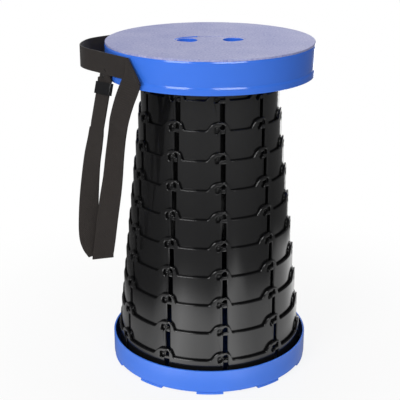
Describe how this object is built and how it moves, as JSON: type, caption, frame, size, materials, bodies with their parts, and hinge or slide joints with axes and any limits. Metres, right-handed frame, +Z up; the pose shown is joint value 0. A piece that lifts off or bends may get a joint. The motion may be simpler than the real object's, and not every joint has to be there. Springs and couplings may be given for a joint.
{
  "type": "telescopic stool",
  "caption": "Round collapsible stool: a tapering column of telescoping plastic rings with humped, windowed edges between a round seat and base, with a folded webbing carry strap.",
  "frame": {"origin": "middle of the base's underside, on the ground", "axes": "+Z up along the column, -Y towards the front of the picture, -X towards the hanging strap"},
  "size_m": [0.2849, 0.25, 0.4073],
  "materials": {
    "plastic_blue": "glossy moulded blue",
    "plastic_black": "glossy moulded black",
    "rubber_blue": "satin",
    "webbing_black": "woven webbing",
    "slider_black": "satin moulded black",
    "steel": "plated"
  },
  "bodies": {
    "base": {"base": "plastic_blue", "ring_01": "plastic_black", "foot_pad_01": "rubber_blue", "foot_pad_02": "rubber_blue", "foot_pad_03": "rubber_blue", "foot_pad_04": "rubber_blue", "foot_pad_05": "rubber_blue", "foot_pad_06": "rubber_blue", "foot_pad_07": "rubber_blue", "foot_pad_08": "rubber_blue", "foot_pad_09": "rubber_blue", "foot_pad_10": "rubber_blue", "base_screw_1": "steel", "base_screw_2": "steel", "base_screw_3": "steel", "base_screw_4": "steel", "base_screw_5": "steel"},
    "ring_02": {"ring_02": "plastic_black"},
    "ring_03": {"ring_03": "plastic_black"},
    "ring_04": {"ring_04": "plastic_black"},
    "ring_05": {"ring_05": "plastic_black"},
    "ring_06": {"ring_06": "plastic_black"},
    "ring_07": {"ring_07": "plastic_black"},
    "ring_08": {"ring_08": "plastic_black"},
    "ring_09": {"ring_09": "plastic_black"},
    "ring_10": {"ring_10": "plastic_black"},
    "ring_11": {"ring_11": "plastic_black", "seat_cover": "plastic_blue", "seat_screw_1": "steel", "seat_screw_2": "steel", "seat_screw_3": "steel", "seat_screw_4": "steel", "seat_screw_5": "steel", "strap_end": "webbing_black"},
    "strap": {"strap_webbing": "webbing_black"},
    "slider": {"strap_slider": "slider_black"}
  },
  "joints": [
    {"name": "ring_02_slide", "type": "slide", "parent": "base", "child": "ring_02", "axis": [0, 0, 1], "range_m": [-0.0309, 0]},
    {"name": "ring_03_slide", "type": "slide", "parent": "ring_02", "child": "ring_03", "axis": [0, 0, 1], "range_m": [-0.0346, 0]},
    {"name": "ring_04_slide", "type": "slide", "parent": "ring_03", "child": "ring_04", "axis": [0, 0, 1], "range_m": [-0.0346, 0]},
    {"name": "ring_05_slide", "type": "slide", "parent": "ring_04", "child": "ring_05", "axis": [0, 0, 1], "range_m": [-0.0346, 0]},
    {"name": "ring_06_slide", "type": "slide", "parent": "ring_05", "child": "ring_06", "axis": [0, 0, 1], "range_m": [-0.0346, 0]},
    {"name": "ring_07_slide", "type": "slide", "parent": "ring_06", "child": "ring_07", "axis": [0, 0, 1], "range_m": [-0.0346, 0]},
    {"name": "ring_08_slide", "type": "slide", "parent": "ring_07", "child": "ring_08", "axis": [0, 0, 1], "range_m": [-0.0346, 0]},
    {"name": "ring_09_slide", "type": "slide", "parent": "ring_08", "child": "ring_09", "axis": [0, 0, 1], "range_m": [-0.0346, 0]},
    {"name": "ring_10_slide", "type": "slide", "parent": "ring_09", "child": "ring_10", "axis": [0, 0, 1], "range_m": [-0.0346, 0]},
    {"name": "ring_11_slide", "type": "slide", "parent": "ring_10", "child": "ring_11", "axis": [0, 0, 1], "range_m": [-0.0281, 0]},
    {"name": "strap_swing", "type": "hinge", "parent": "ring_11", "child": "strap", "pos_m": [-0.093, 0, 0.409], "axis": [0, -1, 0], "range_deg": [-90, 0]},
    {"name": "slider_slide", "type": "slide", "parent": "strap", "child": "slider", "axis": [0.1776, 0.2244, 0.9582], "range_m": [-0.03, 0]}
  ]
}
